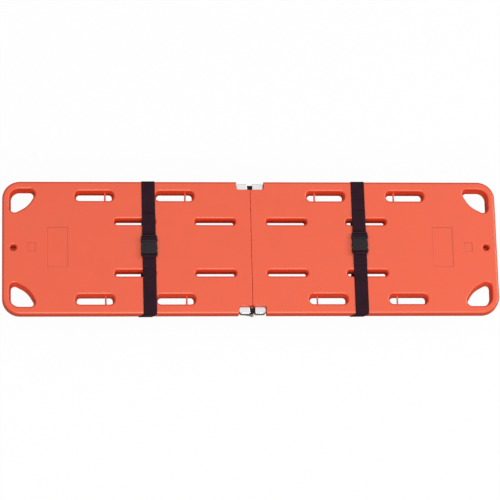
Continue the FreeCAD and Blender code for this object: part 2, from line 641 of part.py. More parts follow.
def strap_path(buckle_y):
    """The middle line of the webbing as (y, z, radius), from its free tail to its sewn end."""
    half = WEBBING_THICKNESS / 2
    offset = STRAP_CLEARANCE + half
    side = HALF_WIDTH + offset
    top = BODY_TOP + offset
    bottom = RUNNER_HEIGHT - offset
    second = top + WEBBING_THICKNESS + WEBBING_LAYER_GAP
    turn = WEBBING_TURN_RADIUS
    over_clip = BUCKLE_BASE + CLIP_BAR_TOP + WEBBING_LAYER_GAP + half
    over_housing = BUCKLE_BASE + HOUSING_BAR_TOP + WEBBING_LAYER_GAP + half
    inner = buckle_y + sum(CLIP_INNER_SLOT) / 2
    outer = buckle_y + sum(CLIP_OUTER_SLOT) / 2
    slot = buckle_y + sum(HOUSING_SLOT) / 2
    behind = buckle_y + HOUSING_END - half - WEBBING_LAYER_GAP - turn / 2
    return [(outer + TAIL_LENGTH, second, 0), (outer, second, turn), (outer, over_clip, turn),
            (inner, over_clip, turn), (inner, top, turn),
            (side, top, TOP_EDGE_RADIUS + offset), (side, bottom, BOTTOM_EDGE_RADIUS + offset),
            (-side, bottom, BOTTOM_EDGE_RADIUS + offset), (-side, top, TOP_EDGE_RADIUS + offset),
            (slot, top, turn), (slot, over_housing, turn), (behind, over_housing, turn),
            (behind, second, turn), (behind - SEWN_LENGTH, second, 0)]


def strap(x, buckle_y):
    """One webbing strap round a board half, threaded through its buckle."""
    outline = strip(strap_path(buckle_y), WEBBING_THICKNESS)
    band = prism(outline, -WEBBING_WIDTH / 2, WEBBING_WIDTH / 2)
    upright = FreeCAD.Placement(FreeCAD.Matrix(0, 0, 1, 0, 1, 0, 0, 0, 0, 1, 0, 0, 0, 0, 0, 1))
    band.Placement = upright
    return on_strap_line(band, x)


def on_strap_line(shape, x):
    """Turn a shape made at x = 0 by the strap's slant and move it to its place along the board."""
    slanted = shape.copy()
    slanted.rotate(V(0, 0, 0), V(0, 0, 1), STRAP_SLANT)
    slanted.translate(V(x, 0, 0))
    return slanted


# ---- buckles; made at the origin on their base, then set on the strap ----

def housing_block():
    """The outside of the housing: narrow at the mouth, full at the windows, round at the webbing end."""
    mouth = BUCKLE_HALF_WIDTH - HOUSING_MOUTH_TAPER
    left = [(-mouth, HOUSING_MOUTH, HOUSING_MOUTH_RADIUS),
            (-BUCKLE_HALF_WIDTH, HOUSING_FLANK_Y, HOUSING_FLANK_RADIUS),
            (-BUCKLE_HALF_WIDTH, HOUSING_END, HOUSING_CORNER_RADIUS)]
    right = [(-x, y, radius) for x, y, radius in reversed(left)]
    body = prism(left + right, 0, BUCKLE_HEIGHT)
    body = body.makeFillet(HOUSING_EDGE_RADIUS, edges_at(body, BUCKLE_HEIGHT))
    return body.makeFillet(HOUSING_EDGE_RADIUS / 2, edges_at(body, 0))


def housing_cavity():
    """The room for the neck and prongs, narrower at the mouth."""
    mouth = NECK_HALF_WIDTH + CAVITY_MOUTH_CLEARANCE
    front = HOUSING_MOUTH + CUTTER_OVERRUN
    outline = [(-CAVITY_HALF_WIDTH, CAVITY_END, 0), (CAVITY_HALF_WIDTH, CAVITY_END, 0),
               (CAVITY_HALF_WIDTH, WINDOW_END, 0), (mouth, front, 0), (-mouth, front, 0),
               (-CAVITY_HALF_WIDTH, WINDOW_END, 0)]
    return prism(outline, CAVITY_BOTTOM, CAVITY_TOP)


def thumb_scallops():
    """Cutters that bare the prong heads, as long as the windows and SCALLOP_DEPTH deep."""
    half_chord = (WINDOW_END - WINDOW_START) / 2
    radius = (half_chord ** 2 + SCALLOP_DEPTH ** 2) / (2 * SCALLOP_DEPTH)
    aside = BUCKLE_HALF_WIDTH - SCALLOP_DEPTH + radius
    middle = (WINDOW_START + WINDOW_END) / 2
    height = BUCKLE_HEIGHT + 2 * CUTTER_OVERRUN
    return [Part.makeCylinder(radius, height, V(side * aside, middle, -CUTTER_OVERRUN)) for side in (-1, 1)]


def raised_panel():
    """The raised panel on the housing's top, widening toward the webbing slot."""
    start = HOUSING_MOUTH - PANEL_MARGIN
    end = HOUSING_SLOT[1] + PANEL_MARGIN
    mouth = BUCKLE_HALF_WIDTH * PANEL_MOUTH_SHARE
    wide = BUCKLE_HALF_WIDTH * PANEL_END_SHARE
    outline = [(x, y, PANEL_RADIUS) for x, y in ((-wide, end), (wide, end), (mouth, start), (-mouth, start))]
    panel = prism(outline, CAVITY_TOP + CUTTER_OVERRUN, BUCKLE_HEIGHT + PANEL_RISE)
    return panel.makeFillet(PANEL_EDGE_RADIUS, edges_at(panel, BUCKLE_HEIGHT + PANEL_RISE))


def buckle_housing():
    """The female half: a flat sleeve with two side windows, a webbing slot and a bar."""
    wide = WEB_SLOT_HALF_WIDTH
    flank = BUCKLE_HALF_WIDTH + CUTTER_OVERRUN
    top = BUCKLE_HEIGHT + CUTTER_OVERRUN
    start = HOUSING_END - CUTTER_OVERRUN
    end = HOUSING_SLOT[0] + CUTTER_OVERRUN
    window = block(-flank, flank, WINDOW_START, WINDOW_END, CAVITY_BOTTOM, CAVITY_TOP)
    slot = prism(rectangle(-wide, wide, *HOUSING_SLOT, WEB_SLOT_RADIUS), -CUTTER_OVERRUN, top)
    under_bar = block(-wide, wide, start, end, -CUTTER_OVERRUN, BAR_BOTTOM)
    over_bar = block(-wide, wide, start, end, HOUSING_BAR_TOP, top)
    body = fused([housing_block(), raised_panel()])
    return body.cut([housing_cavity(), window, slot, under_bar, over_bar] + thumb_scallops())


def clip_frame():
    """The ladder frame of the clip, with its two webbing slots and low bars."""
    outline = [(-CLIP_END_HALF_WIDTH, CLIP_END, CLIP_CORNER_RADIUS),
               (-CLIP_SHOULDER_HALF_WIDTH, CLIP_START, CLIP_SHOULDER_RADIUS),
               (CLIP_SHOULDER_HALF_WIDTH, CLIP_START, CLIP_SHOULDER_RADIUS),
               (CLIP_END_HALF_WIDTH, CLIP_END, CLIP_CORNER_RADIUS)]
    frame = prism(outline, 0, CLIP_HEIGHT)
    frame = frame.makeFillet(CLIP_EDGE_RADIUS, edges_at(frame, CLIP_HEIGHT))
    wide = WEB_SLOT_HALF_WIDTH
    low = -CUTTER_OVERRUN
    top = CLIP_HEIGHT + CUTTER_OVERRUN
    start = CLIP_INNER_SLOT[1] - CUTTER_OVERRUN
    tools = [block(-wide, wide, *slot, low, top) for slot in (CLIP_INNER_SLOT, CLIP_OUTER_SLOT)]
    tools.append(block(-wide, wide, start, CLIP_END + CUTTER_OVERRUN, low, BAR_BOTTOM))
    tools.append(block(-wide, wide, start, CLIP_OUTER_SLOT[1], CLIP_BAR_TOP, top))
    return frame.cut(tools)


def clip_body():
    """The male half: the ladder frame, a neck and a guide rib."""
    low = CAVITY_BOTTOM + PRONG_CLEARANCE
    high = CAVITY_TOP - PRONG_CLEARANCE
    neck = block(-NECK_HALF_WIDTH, NECK_HALF_WIDTH, NECK_END, CLIP_START + CUTTER_OVERRUN, low, high)
    rib_start = NECK_END + CUTTER_OVERRUN
    rib = rectangle(-GUIDE_HALF_WIDTH, GUIDE_HALF_WIDTH, GUIDE_END, rib_start, WEB_SLOT_RADIUS)
    return fused([clip_frame(), neck, prism(rib, low, high)]).cut(prong_sockets())


def prong_sockets():
    """Room in the neck for the prong roots and for the arms' inward swing."""
    sockets = []
    swing = (PRONG_ROOT_Y - NECK_END) * math.tan(math.radians(PRONG_SWING))
    near = PRONG_ROOT_X - PRONG_THICKNESS / 2 - swing - CUTTER_OVERRUN
    far = NECK_HALF_WIDTH + CUTTER_OVERRUN
    start = NECK_END - CUTTER_OVERRUN
    end = PRONG_ROOT_Y - PRONG_ROOT_RADIUS / 2
    for side in (-1, 1):
        centre = V(side * PRONG_ROOT_X, PRONG_ROOT_Y, 0)
        sockets.append(Part.makeCylinder(PRONG_ROOT_RADIUS + PRONG_CLEARANCE, BUCKLE_HEIGHT, centre))
        low, high = sorted((side * near, side * far))
        sockets.append(block(low, high, start, end, CAVITY_BOTTOM, CAVITY_TOP))
    return sockets


def prong():
    """The spring prong on the foot side: a root, an arm and a hooked head that fills the window."""
    half = PRONG_THICKNESS / 2
    low = CAVITY_BOTTOM + PRONG_CLEARANCE
    high = CAVITY_TOP - PRONG_CLEARANCE
    head = PRONG_HEAD_HALF_WIDTH
    outline = [(PRONG_ROOT_X - half, PRONG_ROOT_Y, 0),
               (PRONG_ROOT_X - PRONG_WAIST_INSET, PRONG_HOOK, PRONG_SOFT_RADIUS),
               (PRONG_ROOT_X + PRONG_TIP_INSET, PRONG_TIP + 1, PRONG_SOFT_RADIUS - 0.5),
               (head - PRONG_HEAD_THICKNESS, PRONG_TIP, PRONG_SOFT_RADIUS),
               (head, PRONG_TIP + PRONG_HEAD_LENGTH, 2 * PRONG_SOFT_RADIUS),
               (head, PRONG_HOOK, PRONG_SHARP_RADIUS),
               (PRONG_ROOT_X + PRONG_HOOK_INSET, PRONG_HOOK, PRONG_SHARP_RADIUS),
               (PRONG_ROOT_X + half, PRONG_ROOT_Y, 0)]
    root = Part.makeCylinder(PRONG_ROOT_RADIUS, high - low, V(PRONG_ROOT_X, PRONG_ROOT_Y, low))
    return fused([prism(outline, low, high), root])


def buckle_parts():
    """The four pieces of a buckle by name, all at the origin."""
    footward = prong()
    return {"buckle_housing": buckle_housing(), "buckle_clip": clip_body(),
            "buckle_prong_headward": across_x(footward), "buckle_prong_footward": footward}


# ---- the whole board ----

def board_nodes():
    """Shells, foam cores and clip pins of both halves."""
    nodes = {"head_shell": across_x(shell(-1)), "foot_shell": shell(1)}
    foam = core()
    nodes["head_core"] = across_x(foam)
    nodes["foot_core"] = foam
    for place, pin in zip(("inner", "outer"), clip_pin_rods(CLIP_PIN_RADIUS)):
        for side, sided in (("left", pin), ("right", across_y(pin))):
            nodes[f"foot_clip_pin_{place}_{side}"] = sided
            nodes[f"head_clip_pin_{place}_{side}"] = across_x(sided)
    return nodes


def hinge_nodes():
    """Both hinges. Left is the +Y side, the left hand of someone who lies on the board."""
    foot_bolts = bolts()
    foot_inserts = inserts()
    made = {"foot_hinge_leaf": foot_leaf(), "head_hinge_leaf": head_leaf(), "hinge_pin": hinge_pin(),
            "hinge_bush": bush(), "hinge_circlip": circlip(), "hinge_stop_pad": stop_pad(),
            "foot_hinge_bolts": foot_bolts, "head_hinge_bolts": across_x(foot_bolts),
            "foot_hinge_inserts": foot_inserts, "head_hinge_inserts": across_x(foot_inserts)}
    nodes = {}
    for name, shape in made.items():
        nodes[f"{name}_left"] = shape
        nodes[f"{name}_right"] = across_y(shape)
    return nodes


def strap_nodes():
    """Straps and buckles of both halves."""
    nodes = {}
    for end, x, buckle_y in (("head", HEAD_STRAP_X, HEAD_BUCKLE_Y), ("foot", FOOT_STRAP_X, FOOT_BUCKLE_Y)):
        nodes[f"{end}_strap"] = strap(x, buckle_y)
        for name, shape in buckle_parts().items():
            shape.translate(V(0, buckle_y, BUCKLE_BASE))
            nodes[f"{end}_{name}"] = on_strap_line(shape, x)
    return nodes


def main():
    """Write one STEP file for each piece."""
    os.makedirs("parts", exist_ok=True)
    for nodes in (board_nodes(), hinge_nodes(), strap_nodes()):
        for name, shape in nodes.items():
            shape.exportStep(f"parts/{name}.step")


main()
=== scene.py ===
"""Finishes, webbing and studio for a folding spine board with two buckled body straps.

Metres, in the board's own frame: +Z is up, +X runs from the head end to the foot end. The rigid
pieces keep their shapes and get a finish. The straps are woven and sewn here, because webbing is
a soft good.
"""
from __future__ import annotations

import json
import logging
import math
from dataclasses import dataclass, field
from enum import Enum
from typing import Iterable, Sequence

import bmesh
import bpy
from mathutils import Matrix, Vector

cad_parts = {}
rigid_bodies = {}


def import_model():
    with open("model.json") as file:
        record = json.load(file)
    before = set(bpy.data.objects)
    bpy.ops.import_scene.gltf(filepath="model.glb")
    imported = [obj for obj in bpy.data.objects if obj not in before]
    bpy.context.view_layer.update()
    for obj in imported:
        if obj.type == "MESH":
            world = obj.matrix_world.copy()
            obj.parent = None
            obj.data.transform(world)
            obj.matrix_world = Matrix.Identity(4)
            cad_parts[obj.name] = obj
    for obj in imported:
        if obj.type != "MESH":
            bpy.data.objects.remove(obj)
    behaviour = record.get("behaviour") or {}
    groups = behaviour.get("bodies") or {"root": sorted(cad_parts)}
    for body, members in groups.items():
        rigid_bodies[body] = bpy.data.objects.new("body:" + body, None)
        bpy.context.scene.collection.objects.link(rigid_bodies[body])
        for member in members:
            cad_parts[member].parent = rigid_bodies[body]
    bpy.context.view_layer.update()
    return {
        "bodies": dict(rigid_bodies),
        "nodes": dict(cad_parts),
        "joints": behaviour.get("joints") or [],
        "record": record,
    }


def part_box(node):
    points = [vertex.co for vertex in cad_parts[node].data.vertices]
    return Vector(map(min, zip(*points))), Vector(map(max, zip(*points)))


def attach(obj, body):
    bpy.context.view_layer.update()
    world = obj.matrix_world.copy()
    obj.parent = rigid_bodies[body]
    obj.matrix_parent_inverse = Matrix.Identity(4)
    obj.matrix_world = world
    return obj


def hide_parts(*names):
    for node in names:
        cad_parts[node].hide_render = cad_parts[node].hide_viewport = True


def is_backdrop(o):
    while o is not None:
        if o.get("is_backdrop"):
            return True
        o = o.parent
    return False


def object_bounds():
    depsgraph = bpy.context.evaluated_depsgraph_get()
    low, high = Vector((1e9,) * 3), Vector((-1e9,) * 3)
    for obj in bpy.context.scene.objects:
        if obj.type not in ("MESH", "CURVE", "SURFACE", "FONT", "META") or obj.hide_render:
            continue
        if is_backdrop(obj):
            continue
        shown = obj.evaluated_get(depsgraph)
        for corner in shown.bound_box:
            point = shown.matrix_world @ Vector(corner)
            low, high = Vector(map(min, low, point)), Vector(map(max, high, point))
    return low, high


LOG = logging.getLogger("spine_board")
Colour = tuple[float, float, float]
Spot = tuple[Vector, Vector]

WEBBING_WIDTH = 0.050
LEAST_CORNER_POINTS = 4

# The shared effects' own settings: noise detail, ray counts, and the values between which each mask rises.
GRAIN_DETAIL = 3.0
BROAD_DETAIL = 2.0
PATCH_DETAIL = 4.0
TONE_SPREAD = (0.3, 0.7)
EDGE_SAMPLES = 4
EDGE_TURN = (0.995, 0.9)
PATCH_SPREAD = (0.42, 0.62)
# Painted corner shade: the occlusion test's ray count, and the openness values between which its mask rises.
CREASE_SAMPLES = 8
CREASE_OPENNESS = (0.95, 0.55)
SCUFF_AREA_SCALE = 5.0
SCUFF_LINE_SPREAD = (0.66, 0.74)
SCUFF_AREA_SPREAD = (0.5, 0.68)
YARN_SHARE = 0.35
YARN_SHADE_SPREAD = (-0.2, 1.2)


# ---------------------------------------------------------------- shader building blocks

class Nodes:
    """A thin helper that adds and links the nodes of one shader tree."""

    def __init__(self, tree: bpy.types.NodeTree) -> None:
        """Start on an existing tree.

        Args:
            tree: The node tree to fill.
        """
        self.tree = tree

    def add(self, kind: str, **settings: object) -> bpy.types.Node:
        """Add a node, setting its properties, and its inputs where a name is an input's name.

        Args:
            kind: The node's type name, such as ShaderNodeBump.
            **settings: Property values, or input values with spaces written as underscores.

        Returns:
            The new node.
        """
        node = self.tree.nodes.new(kind)
        for name, value in settings.items():
            label = name.replace("_", " ")
            if label in node.inputs:
                node.inputs[label].default_value = value
            else:
                setattr(node, name, value)
        return node

    def link(self, source: bpy.types.NodeSocket, target: bpy.types.NodeSocket) -> None:
        """Join an output socket to an input socket."""
        self.tree.links.new(source, target)

    def maths(self, operation: str, first: object, second: object = 0.0) -> bpy.types.NodeSocket:
        """Add a maths node.

        Args:
            operation: The operation's name.
            first: A socket or a number.
            second: A socket or a number.

        Returns:
            The result's socket.
        """
        node = self.add("ShaderNodeMath", operation=operation)
        for socket, value in zip(node.inputs, (first, second)):
            if isinstance(value, bpy.types.NodeSocket):
                self.link(value, socket)
            else:
                socket.default_value = value
        return node.outputs[0]

    def ramp(self, source: bpy.types.NodeSocket, low: float, high: float) -> bpy.types.NodeSocket:
        """Stretch a value so that low gives 0 and high gives 1, held within that range."""
        node = self.add("ShaderNodeMapRange", clamp=True)
        node.inputs["From Min"].default_value = low
        node.inputs["From Max"].default_value = high
        self.link(source, node.inputs["Value"])
        return node.outputs["Result"]

    def noise(self, vector: bpy.types.NodeSocket, scale: object, detail: float) -> bpy.types.NodeSocket:
        """Add a noise texture and return its value socket."""
        node = self.add("ShaderNodeTexNoise", Detail=detail)
        self.link(vector, node.inputs["Vector"])
        if isinstance(scale, bpy.types.NodeSocket):
            self.link(scale, node.inputs["Scale"])
        else:
            node.inputs["Scale"].default_value = scale
        return node.outputs["Fac"]

    def raise_surface(self, shader: bpy.types.Node, height: bpy.types.NodeSocket, depth: float,
                      strength: float = 1.0) -> None:
        """Raise and lower a shader's surface by a height, up to a depth in metres."""
        bump = self.add("ShaderNodeBump", Distance=depth, Strength=strength)
        self.link(height, bump.inputs["Height"])
        self.link(bump.outputs["Normal"], shader.inputs["Normal"])

    def mix(self, factor: object, first: object, second: object) -> bpy.types.NodeSocket:
        """Mix two colours and return the result's socket."""
        node = self.add("ShaderNodeMix", data_type="RGBA")
        sockets = (node.inputs[0], node.inputs[6], node.inputs[7])
        for socket, value in zip(sockets, (factor, first, second)):
            if isinstance(value, bpy.types.NodeSocket):
                self.link(value, socket)
            elif isinstance(value, tuple):
                socket.default_value = (*value, 1.0)
            else:
                socket.default_value = value
        return node.outputs[2]


@dataclass(frozen=True)
class EffectGroup:
    """A shader node group while it is filled."""

    tree: bpy.types.NodeTree
    nodes: Nodes
    entry: bpy.types.Node
    leave: bpy.types.Node


def shader_group(name: str, inputs: dict[str, float], outputs: Iterable[str]) -> EffectGroup:
    """Make an empty shader node group with number inputs and number outputs.

    Args:
        name: The group's name.
        inputs: Input names with their usual values.
        outputs: Output names.

    Returns:
        The group's tree, a helper on it, and its entry and exit nodes.
    """
    tree = bpy.data.node_groups.new(name, "ShaderNodeTree")
    for label, value in inputs.items():
        socket = tree.interface.new_socket(name=label, in_out="INPUT", socket_type="NodeSocketFloat")
        socket.default_value = value
    for label in outputs:
        tree.interface.new_socket(name=label, in_out="OUTPUT", socket_type="NodeSocketFloat")
    nodes = Nodes(tree)
    return EffectGroup(tree, nodes, nodes.add("NodeGroupInput"), nodes.add("NodeGroupOutput"))


def moulded_grain_group() -> bpy.types.NodeTree:
    """Fine grain and slow waviness of a moulded plastic skin.

    Returns:
        A group with Height for a bump and Tone for small changes of shade.
    """
    usual = {"Grain Scale": 900.0, "Wave Scale": 14.0, "Wave Share": 0.6}
    group = shader_group("moulded_grain", usual, ("Height", "Tone"))
    nodes, entry, leave = group.nodes, group.entry, group.leave
    place = nodes.add("ShaderNodeTexCoord").outputs["Object"]
    grain = nodes.noise(place, entry.outputs["Grain Scale"], GRAIN_DETAIL)
    wave = nodes.noise(place, entry.outputs["Wave Scale"], BROAD_DETAIL)
    waves = nodes.maths("MULTIPLY", wave, entry.outputs["Wave Share"])
    nodes.link(nodes.maths("ADD", grain, waves), leave.inputs["Height"])
    nodes.link(nodes.ramp(wave, *TONE_SPREAD), leave.inputs["Tone"])
    return group.tree


def edge_wear_group() -> bpy.types.NodeTree:
    """Where handling rubs an edge: a mask that is 1 on sharp edges, broken up by noise.

    Returns:
        A group with the output Mask.
    """
    group = shader_group("edge_wear", {"Reach": 0.0015, "Patch Scale": 60.0}, ("Mask",))
    nodes, entry, leave = group.nodes, group.entry, group.leave
    bevel = nodes.add("ShaderNodeBevel", samples=EDGE_SAMPLES)
    nodes.link(entry.outputs["Reach"], bevel.inputs["Radius"])
    dot = nodes.add("ShaderNodeVectorMath", operation="DOT_PRODUCT")
    nodes.link(bevel.outputs["Normal"], dot.inputs[0])
    nodes.link(nodes.add("ShaderNodeNewGeometry").outputs["Normal"], dot.inputs[1])
    edge = nodes.ramp(dot.outputs["Value"], *EDGE_TURN)
    place = nodes.add("ShaderNodeTexCoord").outputs["Object"]
    patches = nodes.ramp(nodes.noise(place, entry.outputs["Patch Scale"], PATCH_DETAIL), *PATCH_SPREAD)
    nodes.link(nodes.maths("MULTIPLY", edge, patches), leave.inputs["Mask"])
    return group.tree


def painted_crease_shade_group() -> bpy.types.NodeTree:
    """Painted shade: a mask that is 1 in tight inner corners, from an ambient-occlusion test.

    Returns:
        A group with the output Mask.
    """
    # Painted shade: an ambient-occlusion test marks where nearby surfaces close a corner in.
    group = shader_group("painted_crease_shade", {"Reach": 0.004}, ("Mask",))
    near = group.nodes.add("ShaderNodeAmbientOcclusion", samples=CREASE_SAMPLES, only_local=True)
    group.nodes.link(group.entry.outputs["Reach"], near.inputs["Distance"])
    group.nodes.link(group.nodes.ramp(near.outputs["AO"], *CREASE_OPENNESS), group.leave.inputs["Mask"])
    return group.tree


def scuff_group() -> bpy.types.NodeTree:
    """Faint long scuffs, as a board gets from being slid along.

    Returns:
        A group with the output Mask.
    """
    group = shader_group("scuffs", {"Length Scale": 3.0, "Width Scale": 260.0}, ("Mask",))
    nodes, entry, leave = group.nodes, group.entry, group.leave
    place = nodes.add("ShaderNodeTexCoord").outputs["Object"]
    stretch = nodes.add("ShaderNodeCombineXYZ")
    nodes.link(entry.outputs["Length Scale"], stretch.inputs["X"])
    nodes.link(entry.outputs["Width Scale"], stretch.inputs["Y"])
    nodes.link(entry.outputs["Width Scale"], stretch.inputs["Z"])
    scaled = nodes.add("ShaderNodeVectorMath", operation="MULTIPLY")
    nodes.link(place, scaled.inputs[0])
    nodes.link(stretch.outputs["Vector"], scaled.inputs[1])
    lines = nodes.ramp(nodes.noise(scaled.outputs["Vector"], 1.0, BROAD_DETAIL), *SCUFF_LINE_SPREAD)
    areas = nodes.ramp(nodes.noise(place, SCUFF_AREA_SCALE, BROAD_DETAIL), *SCUFF_AREA_SPREAD)
    nodes.link(nodes.maths("MULTIPLY", lines, areas), leave.inputs["Mask"])
    return group.tree


def weave_group() -> bpy.types.NodeTree:
    """The herringbone rows of heavy nylon webbing, laid out along the strap's own length.

    Returns:
        A group with Height for a bump and Shade for the darker gaps between yarns.
    """
    usual = {"Rows": 22.0, "Yarn Pitch": 0.0016, "Width": WEBBING_WIDTH}
    group = shader_group("webbing_weave", usual, ("Height", "Shade"))
    nodes, entry, leave = group.nodes, group.entry, group.leave
    split = nodes.add("ShaderNodeSeparateXYZ")
    nodes.link(nodes.add("ShaderNodeTexCoord").outputs["UV"], split.inputs[0])
    across = nodes.maths("DIVIDE", split.outputs["X"], entry.outputs["Width"])
    row = nodes.maths("MULTIPLY", across, entry.outputs["Rows"])
    zigzag = nodes.maths("PINGPONG", row, 1.0)
    along = nodes.maths("DIVIDE", split.outputs["Y"], entry.outputs["Yarn Pitch"])
    slanted = nodes.maths("ADD", along, zigzag)
    yarn = nodes.maths("SINE", nodes.maths("MULTIPLY", slanted, 2 * math.pi))
    rib = nodes.maths("ABSOLUTE", nodes.maths("SINE", nodes.maths("MULTIPLY", row, math.pi)))
    height = nodes.maths("ADD", nodes.maths("MULTIPLY", yarn, YARN_SHARE), rib)
    nodes.link(height, leave.inputs["Height"])
    nodes.link(nodes.ramp(height, *YARN_SHADE_SPREAD), leave.inputs["Shade"])
    return group.tree


class Effect(Enum):
    """The shared surface effects, each a node group that is built once."""

    GRAIN = "moulded_grain"
    WEAR = "edge_wear"
    CREASE_SHADE = "painted_crease_shade"
    SCUFFS = "scuffs"
    WEAVE = "webbing_weave"

    def tree(self) -> bpy.types.NodeTree:
        """Return the effect's node group, building it on first use."""
        makers = {Effect.GRAIN: moulded_grain_group, Effect.WEAR: edge_wear_group,
                  Effect.CREASE_SHADE: painted_crease_shade_group, Effect.SCUFFS: scuff_group, Effect.WEAVE: weave_group}
        return bpy.data.node_groups.get(self.value) or makers[self]()

    def place(self, nodes: Nodes, **values: float) -> bpy.types.Node:
        """Add the effect to a material with its own values.

        Args:
            nodes: The material's helper.
            **values: Input values, with spaces written as underscores.

        Returns:
            The group node.
        """
        node = nodes.add("ShaderNodeGroup", node_tree=self.tree())
        for name, value in values.items():
            node.inputs[name.replace("_", " ")].default_value = value
        return node


# ---------------------------------------------------------------- finishes

def blank_material(name: str) -> tuple[bpy.types.Material, Nodes, bpy.types.Node]:
    """Make a material with only a principled shader and its output.

    Args:
        name: The material's name.

    Returns:
        The material, a helper on its tree and the shader node.
    """
    material = bpy.data.materials.new(name)
    material.use_nodes = True
    material.node_tree.nodes.clear()
    nodes = Nodes(material.node_tree)
    shader = nodes.add("ShaderNodeBsdfPrincipled")
    output = nodes.add("ShaderNodeOutputMaterial")
    nodes.link(shader.outputs["BSDF"], output.inputs["Surface"])
    return material, nodes, shader


def set_inputs(shader: bpy.types.Node, **values: object) -> None:
    """Set a shader's constant inputs, with spaces in their names written as underscores."""
    for name, value in values.items():
        shader.inputs[name.replace("_", " ")].default_value = value


def shades(colour: Colour, share: float) -> Colour:
    """Return a colour made darker or lighter by a share, held at full brightness."""
    return tuple(min(part * share, 1.0) for part in colour)


@dataclass(frozen=True)
class Finish:
    """A named surface finish, whose material is built once."""

    name: str

    def material(self) -> bpy.types.Material:
        """Return the finish's material, building it on first use."""
        return bpy.data.materials.get(self.name) or self.mixed()

    def mixed(self) -> bpy.types.Material:
        """Build the finish's material."""
        raise NotImplementedError


@dataclass(frozen=True)
class MouldedPlastic(Finish):
    """A moulded plastic skin with grain, slow waviness, faint scuffs, rubbed edges and painted shade darkening tight
    inner corners.
    """

    colour: Colour
    rubbed: Colour
    roughness: float = 0.42
    specular: float = 0.5
    index: float = 1.5
    gloss_tint: Colour = (1.0, 1.0, 1.0)
    grain_scale: float = 900.0
    wave_scale: float = 14.0
    grain_depth: float = 0.00004
    tone_change: float = 0.06
    wear: float = 0.25
    scuffs: float = 0.12
    # Painted shade in tight inner corners: its strength, and how dark the shaded colour is.
    painted_shade: float = 0.0
    painted_shade_share: float = 0.35
    scuff_roughening: float = 0.8
    tone_roughening: float = 0.04

    def mixed(self) -> bpy.types.Material:
        """Build the plastic: tone, worn edges, painted shade in tight inner corners, then scuffs over all."""
        material, nodes, shader = blank_material(self.name)
        grain = Effect.GRAIN.place(nodes, Grain_Scale=self.grain_scale, Wave_Scale=self.wave_scale)
        toned = nodes.mix(grain.outputs["Tone"], shades(self.colour, 1 - self.tone_change), self.colour)
        wear = nodes.maths("MULTIPLY", Effect.WEAR.place(nodes).outputs["Mask"], self.wear)
        worn = nodes.mix(wear, toned, self.rubbed)
        scuff = nodes.maths("MULTIPLY", Effect.SCUFFS.place(nodes).outputs["Mask"], self.scuffs)
        # Painted shade: the colour darkens in tight inner corners and recess steps.
        painted_shade = nodes.maths("MULTIPLY", Effect.CREASE_SHADE.place(nodes).outputs["Mask"], self.painted_shade)
        corner_shaded = nodes.mix(painted_shade, worn, shades(self.colour, self.painted_shade_share))
        nodes.link(nodes.mix(scuff, corner_shaded, self.rubbed), shader.inputs["Base Color"])
        rough = nodes.maths("ADD", nodes.maths("MULTIPLY", scuff, self.scuff_roughening), self.roughness)
        uneven = nodes.maths("MULTIPLY", grain.outputs["Tone"], self.tone_roughening)
        nodes.link(nodes.maths("ADD", rough, uneven), shader.inputs["Roughness"])
        nodes.raise_surface(shader, grain.outputs["Height"], self.grain_depth)
        set_inputs(shader, Specular_IOR_Level=self.specular, IOR=self.index,
                   Specular_Tint=(*self.gloss_tint, 1.0))
        return material


@dataclass(frozen=True)
class WorkedMetal(Finish):
    """Bare metal with tool lines, a soft mottle and brighter edges."""

    colour: Colour
    roughness: float = 0.32
    line_scale: Colour = (40.0, 900.0, 900.0)
    line_depth: float = 0.00002
    line_roughening: float = 0.18
    edge_gain: float = 0.35
    edge_reach: float = 0.0008
    edge_shade: float = 1.15
    mottle_scale: float = 180.0
    mottle_shade: float = 0.82

    def mixed(self) -> bpy.types.Material:
        """Build the metal: a mottle, bright edges, and tool lines in its gloss and its surface."""
        material, nodes, shader = blank_material(self.name)
        place = nodes.add("ShaderNodeTexCoord").outputs["Object"]
        stretch = nodes.add("ShaderNodeMapping", Scale=self.line_scale)
        nodes.link(place, stretch.inputs["Vector"])
        lines = nodes.noise(stretch.outputs["Vector"], 1.0, GRAIN_DETAIL)
        mottle = nodes.noise(place, self.mottle_scale, BROAD_DETAIL)
        tone = nodes.mix(mottle, shades(self.colour, self.mottle_shade), self.colour)
        edges = Effect.WEAR.place(nodes, Reach=self.edge_reach).outputs["Mask"]
        wear = nodes.maths("MULTIPLY", edges, self.edge_gain)
        nodes.link(nodes.mix(wear, tone, shades(self.colour, self.edge_shade)), shader.inputs["Base Color"])
        smoothest = self.roughness - self.line_roughening / 2
        rough = nodes.maths("ADD", nodes.maths("MULTIPLY", lines, self.line_roughening), smoothest)
        nodes.link(rough, shader.inputs["Roughness"])
        nodes.raise_surface(shader, lines, self.line_depth)
        set_inputs(shader, Metallic=1.0)
        return material


